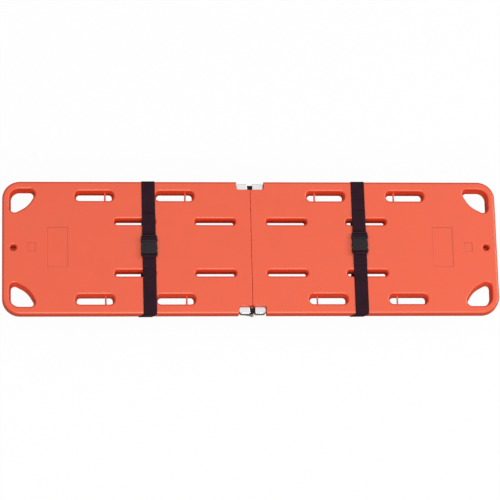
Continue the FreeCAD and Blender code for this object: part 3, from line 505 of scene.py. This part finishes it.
@dataclass(frozen=True)
class WovenNylon(Finish):
    """Dyed nylon webbing or thread with a woven height, dark gaps and a soft sheen."""

    colour: Colour
    gap_colour: Colour
    yarn_pitch: float = 0.0016
    rows: float = 22.0
    depth: float = 0.00025
    roughness: float = 0.72
    sheen: float = 0.35
    sheen_roughness: float = 0.4
    specular: float = 0.15
    fuzz_scale: float = 2600.0
    fuzz_share: float = 0.3
    fade_scale: float = 30.0
    fade_share: float = 0.3
    fade_shade: float = 1.5
    relief: float = 0.8

    def mixed(self) -> bpy.types.Material:
        """Build the nylon: dyed yarns over dark gaps, faded in patches, with a fuzz on the weave."""
        material, nodes, shader = blank_material(self.name)
        weave = Effect.WEAVE.place(nodes, Yarn_Pitch=self.yarn_pitch, Rows=self.rows)
        grain = Effect.GRAIN.place(nodes, Grain_Scale=self.fuzz_scale, Wave_Scale=self.fade_scale)
        woven = nodes.mix(weave.outputs["Shade"], self.gap_colour, self.colour)
        fade = nodes.maths("MULTIPLY", grain.outputs["Tone"], self.fade_share)
        nodes.link(nodes.mix(fade, woven, shades(self.colour, self.fade_shade)), shader.inputs["Base Color"])
        fuzz = nodes.maths("MULTIPLY", grain.outputs["Height"], self.fuzz_share)
        height = nodes.maths("ADD", weave.outputs["Height"], fuzz)
        nodes.raise_surface(shader, height, self.depth, self.relief)
        set_inputs(shader, Roughness=self.roughness, Sheen_Weight=self.sheen,
                   Sheen_Roughness=self.sheen_roughness, Specular_IOR_Level=self.specular)
        return material


# The shell's painted shade darkens its tight inner corners and recess steps.
SHELL = MouldedPlastic("orange_polyethylene", (0.775, 0.049, 0.009), (0.86, 0.14, 0.06), roughness=0.46,
                       specular=1.0, index=1.6, gloss_tint=(1.0, 1.0, 0.75), grain_scale=700.0,
                       grain_depth=0.00003, tone_change=0.04, wear=0.2, scuffs=0.08, painted_shade=0.8)
CLIP_PIN = MouldedPlastic("orange_pin_plastic", (0.80, 0.10, 0.05), (0.86, 0.30, 0.24), roughness=0.35,
                          specular=0.8)
BUCKLE = MouldedPlastic("black_acetal", (0.012, 0.007, 0.010), (0.06, 0.045, 0.055), roughness=0.36,
                        specular=0.28, grain_scale=2400.0, grain_depth=0.00003, wear=0.3, scuffs=0.04)
BUSH = MouldedPlastic("natural_nylon", (0.70, 0.68, 0.60), (0.80, 0.78, 0.72), roughness=0.45)
PAD = MouldedPlastic("black_rubber", (0.012, 0.010, 0.010), (0.05, 0.045, 0.045), roughness=0.75,
                     specular=0.3)
FOAM = MouldedPlastic("cream_foam", (0.72, 0.66, 0.48), (0.80, 0.75, 0.60), roughness=0.95, specular=0.2,
                      grain_scale=500.0, grain_depth=0.0004)
ALUMINIUM = WorkedMetal("tumbled_aluminium", (0.88, 0.89, 0.91))
STEEL = WorkedMetal("turned_steel", (0.62, 0.62, 0.64), roughness=0.25)
BRASS = WorkedMetal("knurled_brass", (0.72, 0.55, 0.26), roughness=0.35)
WEBBING = WovenNylon("black_webbing", (0.028, 0.008, 0.016), (0.009, 0.003, 0.005), roughness=0.85,
                     sheen=0.03)
THREAD = WovenNylon("sewing_thread", (0.050, 0.035, 0.045), (0.02, 0.015, 0.02), yarn_pitch=0.0006,
                    rows=1.0, sheen=0.1)


def dress(piece: bpy.types.Object, finish: Finish) -> None:
    """Give every material slot of a piece one finish."""
    material = finish.material()
    if not piece.material_slots:
        piece.data.materials.append(material)
    for held in piece.material_slots:
        held.material = material


# ---------------------------------------------------------------- mesh helpers

def mesh_piece(name: str, points: Sequence[Vector], faces: Sequence[Sequence[int]], finish: Finish,
               smooth: bool = True) -> bpy.types.Object:
    """Make a mesh object with one finish and outward faces.

    Args:
        name: The piece's name.
        points: Its vertices.
        faces: Its faces as vertex numbers.
        finish: Its finish.
        smooth: Whether its faces are shaded smooth.

    Returns:
        The new object, linked to the scene.
    """
    mesh = bpy.data.meshes.new(name)
    mesh.from_pydata([tuple(p) for p in points], [], [tuple(f) for f in faces])
    mesh.validate()
    shaped = bmesh.new()
    shaped.from_mesh(mesh)
    bmesh.ops.recalc_face_normals(shaped, faces=shaped.faces)
    shaped.to_mesh(mesh)
    shaped.free()
    mesh.polygons.foreach_set("use_smooth", [smooth] * len(mesh.polygons))
    piece = bpy.data.objects.new(name, mesh)
    bpy.context.scene.collection.objects.link(piece)
    dress(piece, finish)
    return piece


def left_of(direction: Vector) -> Vector:
    """Return a direction in the YZ plane turned a quarter to its left."""
    return Vector((0, -direction.z, direction.y))


def straight_run(start: Vector, end: Vector, step: float) -> list[Spot]:
    """Points from start up to but not at end, each with the run's left-hand normal."""
    count = max(1, math.ceil((end - start).length / step))
    normal = left_of((end - start).normalized())
    return [(start.lerp(end, i / count), normal) for i in range(count)]


def rounded_path(corners: Sequence[tuple[float, float, float]], step: float) -> list[Spot]:
    """Points along a flat path whose corners are rounded.

    Args:
        corners: The path's (y, z, radius) corners. The two ends have no radius.
        step: The longest stretch between points.

    Returns:
        Points with the path's left-hand normal at each, both in the YZ plane.
    """
    spots = [Vector((0, y, z)) for y, z, _ in corners]
    line: list[Spot] = []
    current = spots[0]
    for i in range(1, len(spots) - 1):
        back = (spots[i - 1] - spots[i]).normalized()
        onward = (spots[i + 1] - spots[i]).normalized()
        half_angle = back.angle(onward) / 2
        radius = corners[i][2]
        reach = radius / math.tan(half_angle)
        start = spots[i] + back * reach
        line += straight_run(current, start, step)
        centre = spots[i] + (back + onward).normalized() * (radius / math.sin(half_angle))
        sweep = math.pi - 2 * half_angle
        turn = 1 if (-back).cross(onward).x > 0 else -1
        count = max(LEAST_CORNER_POINTS, math.ceil(sweep * radius / step))
        for k in range(count):
            spin = Matrix.Rotation(turn * sweep * k / count, 3, "X")
            point = centre + spin @ (start - centre)
            line.append((point, spin @ left_of(-back)))
        current = spots[i] + onward * reach
    line += straight_run(current, spots[-1], step)
    line.append((spots[-1], left_of((spots[-1] - current).normalized())))
    return line


def tube_faces(base: int, sides: int, rings: int) -> list[tuple[int, ...]]:
    """Faces of a closed tube of points laid ring by ring.

    Args:
        base: The number of its first point.
        sides: Points in each ring.
        rings: How many rings it has.

    Returns:
        Its side faces and its two end caps.
    """
    faces: list[tuple[int, ...]] = []
    for ring in range(rings - 1):
        row = base + ring * sides
        for k in range(sides):
            here, after = row + k, row + (k + 1) % sides
            faces.append((here, after, after + sides, here + sides))
    last = base + (rings - 1) * sides
    return faces + [tuple(range(base, base + sides)), tuple(range(last, last + sides))]


# ---------------------------------------------------------------- the board halves

@dataclass
class BoardHalf:
    """One moulded half: its shell, foam core and clip pins."""

    end: str
    nodes: dict[str, bpy.types.Object]

    def build(self) -> None:
        """Give each of the half's own pieces its finish."""
        dress(self.nodes[f"{self.end}_shell"], SHELL)
        dress(self.nodes[f"{self.end}_core"], FOAM)
        for name, piece in self.nodes.items():
            if name.startswith(f"{self.end}_clip_pin"):
                dress(piece, CLIP_PIN)
        LOG.info("%s half dressed", self.end)


@dataclass
class SideHinge:
    """One hinge: leaves, pin, bush, circlip, stop pad, bolts and inserts."""

    side: str
    nodes: dict[str, bpy.types.Object]
    finishes: dict[str, Finish] = field(default_factory=lambda: {
        "hinge_leaf": ALUMINIUM, "hinge_pin": STEEL, "hinge_bolts": STEEL, "hinge_circlip": STEEL,
        "hinge_inserts": BRASS, "hinge_bush": BUSH, "hinge_stop_pad": PAD})

    def build(self) -> None:
        """Give each piece of the hinge its finish."""
        for name, piece in self.nodes.items():
            if not name.endswith(self.side):
                continue
            for part, finish in self.finishes.items():
                if part in name:
                    dress(piece, finish)
        LOG.info("%s hinge dressed", self.side)


# ---------------------------------------------------------------- straps

@dataclass
class BodyStrap:
    """One webbing strap: a woven band round the board, through the buckle, with sewn ends."""

    end: str
    frame: dict
    webbing_width: float = WEBBING_WIDTH
    webbing_thickness: float = 0.0020
    pull_aside: float = 0.018
    slant: float = math.radians(0.3)
    board_clearance: float = 0.0008
    layer_gap: float = 0.0003
    turn_radius: float = 0.0016
    top_edge_radius: float = 0.010
    bottom_edge_radius: float = 0.008
    root_y: float = 0.008
    clip_inner: float = 0.01975
    clip_outer: float = 0.0290
    clip_bar_top: float = 0.0114
    housing_slot: float = -0.038
    housing_end: float = -0.046
    housing_bar_top: float = 0.0100
    tail_length: float = 0.096
    sewn_length: float = 0.040
    selvedge_swell: float = 0.10
    pull_growth: int = 3
    across: int = 12
    step: float = 0.006
    stitch_length: float = 0.0030
    stitch_pitch: float = 0.0042
    stitch_radius: float = 0.00045
    stitch_inset: float = 0.005
    stitch_sides: int = 6
    stitch_rings: int = 5
    sewn_start: float = 0.008
    sewn_margin: float = 0.010

    def __post_init__(self) -> None:
        """Read the strap's place from the frame."""
        low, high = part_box(f"{self.end}_strap")
        self.x = (low.x + high.x) / 2
        joints = [j for j in self.frame["joints"] if j["name"].startswith(f"{self.end}_squeeze")]
        middle = sum(j["pos_m"][1] for j in joints) / len(joints)
        self.buckle_y = middle / math.cos(self.slant) - self.root_y
        overhang = self.webbing_width / 2 * math.sin(self.slant)
        half = self.webbing_thickness / 2
        self.side = (high.y - overhang) / math.cos(self.slant) - half
        self.bottom = low.z + half
        shell_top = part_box(f"{self.end}_shell")[1].z
        self.top = shell_top + self.board_clearance + half
        self.buckle_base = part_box(f"{self.end}_buckle_housing")[0].z

    def corners(self) -> list[tuple[float, float, float]]:
        """The webbing's middle line, from its free tail to its sewn end, as (y, z, radius)."""
        half = self.webbing_thickness / 2
        lift = self.board_clearance + half
        second = self.top + self.webbing_thickness + self.layer_gap
        turn = self.turn_radius
        over_clip = self.buckle_base + self.clip_bar_top + self.layer_gap + half
        over_bar = self.buckle_base + self.housing_bar_top + self.layer_gap + half
        inner, outer = self.buckle_y + self.clip_inner, self.buckle_y + self.clip_outer
        slot = self.buckle_y + self.housing_slot
        behind = self.buckle_y + self.housing_end - half - self.layer_gap - turn / 2
        upper, lower = self.top_edge_radius + lift, self.bottom_edge_radius + lift
        return [(outer + self.tail_length, second, 0), (outer, second, turn), (outer, over_clip, turn),
                (inner, over_clip, turn), (inner, self.top, turn),
                (self.side, self.top, upper), (self.side, self.bottom, lower),
                (-self.side, self.bottom, lower), (-self.side, self.top, upper),
                (slot, self.top, turn), (slot, over_bar, turn), (behind, over_bar, turn),
                (behind, second, turn), (behind - self.sewn_length, second, 0)]

    def placed(self, point: Vector) -> Vector:
        """Turn a point made on the line x = 0 by the slant and move it to the strap's place.

        Under the board the webbing is pulled aside, most at the near edge and not at all at the far one.

        Args:
            point: A point of the straight strap.

        Returns:
            The point's place on the board.
        """
        drop = min(max((self.top - point.z) / (self.top - self.bottom), 0.0), 1.0)
        nearness = min(max((self.side - point.y) / (2 * self.side), 0.0), 1.0)
        aside = self.pull_aside * drop * drop * (3 - 2 * drop) * nearness ** self.pull_growth
        turned = Matrix.Rotation(self.slant, 3, "Z") @ point
        return turned + Vector((self.x - aside, 0, 0))

    def band(self) -> bpy.types.Object:
        """Weave the band: a rounded section with proud selvedges, swept along the path.

        Returns:
            The webbing, with its width and length as its texture coordinates.
        """
        line = rounded_path(self.corners(), self.step)
        half, half_width = self.webbing_thickness / 2, self.webbing_width / 2
        section: list[tuple[float, float]] = []
        for i in range(self.across + 1):
            share = i / self.across * 2 - 1
            swell = 1 - self.selvedge_swell * (1 - abs(share) ** 6)
            section.append((share * (half_width - half), half * swell))
        section.append((half_width, 0.0))
        section += [(x, -z) for x, z in reversed(section[:-1])]
        section.append((-half_width, 0.0))
        count = len(section)
        points = [self.placed(spot + normal * z + Vector((x, 0, 0)))
                  for spot, normal in line for x, z in section]
        faces = tube_faces(0, count, len(line))
        piece = mesh_piece(f"{self.end}_webbing", points, faces, WEBBING)
        self.lay_out(piece.data, line, section)
        return piece

    def lay_out(self, mesh: bpy.types.Mesh, line: Sequence[Spot],
                section: Sequence[tuple[float, float]]) -> None:
        """Store each corner's place across and along the webbing, in metres.

        Args:
            mesh: The band's mesh.
            line: The points along the path.
            section: The points across the webbing.
        """
        lengths = [0.0]
        for (here, _), (after, _) in zip(line, line[1:]):
            lengths.append(lengths[-1] + (after - here).length)
        layer = mesh.uv_layers.new(name="webbing")
        for loop in mesh.loops:
            row, column = divmod(loop.vertex_index, len(section))
            layer.data[loop.index].uv = (section[column][0] + self.webbing_width / 2, lengths[row])

    def stitch_places(self) -> list[tuple[Vector, float]]:
        """Where the box and cross of stitches lie on the sewn end, as places and headings."""
        start = self.buckle_y + self.housing_end - self.sewn_start
        end = start - self.sewn_length + self.sewn_margin
        edge = self.webbing_width / 2 - self.stitch_inset
        z = self.top + self.webbing_thickness * 1.5 + self.layer_gap
        corners = [Vector((x, y, z)) for x, y in ((-edge, start), (edge, start), (edge, end), (-edge, end))]
        runs = [(0, 1), (1, 2), (2, 3), (3, 0), (0, 2), (1, 3)]
        places = []
        for first, last in runs:
            a, b = corners[first], corners[last]
            count = max(2, round((b - a).length / self.stitch_pitch))
            heading = math.atan2(b.y - a.y, b.x - a.x)
            places += [(a.lerp(b, (i + 0.5) / count), heading) for i in range(count)]
        return places

    def stitching(self) -> bpy.types.Object:
        """Sew the box and cross: each stitch is a short thread that dips at both ends."""
        points: list[Vector] = []
        faces: list[tuple[int, ...]] = []
        sides, rings = self.stitch_sides, self.stitch_rings
        for place, heading in self.stitch_places():
            spin = Matrix.Rotation(heading, 3, "Z")
            base = len(points)
            for r in range(rings):
                share = r / (rings - 1) * 2 - 1
                radius = self.stitch_radius * math.sqrt(max(1 - share ** 4, 0.02))
                dip = -self.stitch_radius * 0.9 * share ** 2
                for k in range(sides):
                    angle = 2 * math.pi * k / sides
                    local = Vector((share * self.stitch_length / 2, radius * math.cos(angle),
                                    radius * math.sin(angle) + dip + self.stitch_radius * 0.2))
                    points.append(self.placed(place + spin @ local))
            faces += tube_faces(base, sides, rings)
        return mesh_piece(f"{self.end}_stitching", points, faces, THREAD)

    def build(self) -> None:
        """Make the webbing and its stitching and hang them on the board half."""
        webbing, stitching = self.band(), self.stitching()
        for piece in (webbing, stitching):
            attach(piece, f"{self.end}_half")
        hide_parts(f"{self.end}_strap")
        LOG.info("%s strap woven and sewn", self.end)


@dataclass
class ReleaseBuckle:
    """One side-release buckle: housing, clip and two spring prongs."""

    end: str
    nodes: dict[str, bpy.types.Object]

    def build(self) -> None:
        """Give each piece of the buckle its finish."""
        for name, piece in self.nodes.items():
            if name.startswith(f"{self.end}_buckle"):
                dress(piece, BUCKLE)
        LOG.info("%s buckle dressed", self.end)


# ---------------------------------------------------------------- studio

@dataclass(frozen=True)
class PaperFloor(Finish):
    """A pale paper floor that looks evenly lit from above and throws little light back up."""

    seen: Colour = (1.0, 1.0, 1.0)
    paper: Colour = (0.80, 0.80, 0.80)
    throws: Colour = (0.26, 0.21, 0.19)
    glow_share: float = 0.96
    roughness: float = 0.95
    specular: float = 0.1

    def mixed(self) -> bpy.types.Material:
        """Build the paper: a glow for the camera, and a darker, warm grey for everything else."""
        material, nodes, shader = blank_material(self.name)
        set_inputs(shader, Roughness=self.roughness, Specular_IOR_Level=self.specular)
        path = nodes.add("ShaderNodeLightPath")
        paper = nodes.mix(path.outputs["Is Camera Ray"], self.throws, self.paper)
        nodes.link(paper, shader.inputs["Base Color"])
        glow = nodes.add("ShaderNodeEmission", Color=(*self.seen, 1.0))
        share = nodes.maths("MULTIPLY", path.outputs["Is Camera Ray"], self.glow_share)
        blend = nodes.add("ShaderNodeMixShader")
        nodes.link(share, blend.inputs[0])
        nodes.link(shader.outputs["BSDF"], blend.inputs[1])
        nodes.link(glow.outputs["Emission"], blend.inputs[2])
        output = next(node for node in material.node_tree.nodes if node.type == "OUTPUT_MATERIAL")
        nodes.link(blend.outputs["Shader"], output.inputs["Surface"])
        return material


@dataclass(frozen=True)
class SoftLamp:
    """A large square lamp that points at the board's middle."""

    name: str
    place: tuple[float, float, float]
    power: float
    size: float = 2.5

    def hang(self) -> None:
        """Hang the lamp in its place."""
        data = bpy.data.lights.new(self.name, "AREA")
        data.size = self.size
        data.energy = self.power
        lamp = bpy.data.objects.new(self.name, data)
        lamp.location = self.place
        lamp.rotation_euler = Vector(self.place).to_track_quat("Z", "Y").to_euler()
        bpy.context.scene.collection.objects.link(lamp)


@dataclass
class Studio:
    """A plain pale floor, soft lights and the camera."""

    frame: dict
    floor_half: float = 40.0
    floor_room: float = 0.012
    lens: float = 200.0
    tilt_back: float = math.radians(16.5)
    tilt_side: float = math.radians(5.0)
    fill_share: float = 0.988
    aim_aside: float = -0.0035
    aim_up: float = -0.0045
    horizon_light: float = 0.15
    zenith_light: float = 1.05
    sky_rise: tuple[float, float] = (0.3, 0.95)
    far_clip: float = 10.0
    lamps: tuple[SoftLamp, ...] = (SoftLamp("foot_end_lamp", (7.0, 1.5, 4.8), 240.0),
                                   SoftLamp("near_side_lamp", (0.0, -6.5, 5.2), 320.0))

    def floor(self) -> None:
        """Lay the floor, low enough for the half that folds down under the other one."""
        fold = next(joint for joint in self.frame["joints"] if joint["name"] == "fold")
        lowest = 2 * fold["pos_m"][2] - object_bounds()[1].z
        z, h = lowest - self.floor_room, self.floor_half
        points = [Vector((x, y, z)) for x, y in ((-h, -h), (h, -h), (h, h), (-h, h))]
        mesh_piece("studio_floor", points, [(0, 1, 2, 3)], PaperFloor("pale_paper"), smooth=False)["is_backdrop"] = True

    def world(self) -> None:
        """Light the board most from overhead, and show white behind it."""
        world = bpy.data.worlds.new("studio")
        world.use_nodes = True
        bpy.context.scene.world = world
        world.node_tree.nodes.clear()
        nodes = Nodes(world.node_tree)
        height = nodes.add("ShaderNodeSeparateXYZ")
        nodes.link(nodes.add("ShaderNodeTexCoord").outputs["Generated"], height.inputs[0])
        overhead = nodes.ramp(height.outputs["Z"], *self.sky_rise)
        rise = nodes.maths("MULTIPLY", overhead, self.zenith_light - self.horizon_light)
        lit = nodes.add("ShaderNodeBackground", Color=(1.0, 1.0, 1.0, 1.0))
        nodes.link(nodes.maths("ADD", rise, self.horizon_light), lit.inputs["Strength"])
        seen = nodes.add("ShaderNodeBackground", Color=(1.0, 1.0, 1.0, 1.0), Strength=1.0)
        blend = nodes.add("ShaderNodeMixShader")
        nodes.link(nodes.add("ShaderNodeLightPath").outputs["Is Camera Ray"], blend.inputs[0])
        nodes.link(lit.outputs["Background"], blend.inputs[1])
        nodes.link(seen.outputs["Background"], blend.inputs[2])
        nodes.link(blend.outputs["Shader"], nodes.add("ShaderNodeOutputWorld").inputs["Surface"])

    def camera(self) -> None:
        """Look down on the board, tilted a little, with its long sides level in the picture."""
        data = bpy.data.cameras.new("camera")
        data.lens = self.lens
        low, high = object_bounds()
        back = Vector((-math.tan(self.tilt_side), -math.tan(self.tilt_back), 1)).normalized()
        right = (Vector((1, 0, 0)) - back * back.x).normalized()
        up = back.cross(right)
        span = (high.x - low.x) * right.x
        distance = span / 2 / self.fill_share / (data.sensor_width / 2 / data.lens)
        camera = bpy.data.objects.new("camera", data)
        spin = Matrix((right, up, back)).transposed()
        target = (low + high) / 2 + right * self.aim_aside + up * self.aim_up
        camera.matrix_world = Matrix.Translation(target + back * distance) @ spin.to_4x4()
        data.clip_end = distance * self.far_clip
        bpy.context.scene.collection.objects.link(camera)
        bpy.context.scene.camera = camera

    def build(self) -> None:
        """Set up the whole studio."""
        self.world()
        self.floor()
        for lamp in self.lamps:
            lamp.hang()
        self.camera()
        bpy.context.scene.view_settings.view_transform = "Standard"
        LOG.info("studio set")


def main() -> None:
    """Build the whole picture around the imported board."""
    logging.basicConfig(level=logging.INFO, format="%(name)s: %(message)s")
    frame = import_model()
    nodes = frame["nodes"]
    for end in ("head", "foot"):
        BoardHalf(end, nodes).build()
        BodyStrap(end, frame).build()
        ReleaseBuckle(end, nodes).build()
    for side in ("left", "right"):
        SideHinge(side, nodes).build()
    Studio(frame).build()


if __name__ == "__main__":
    main()
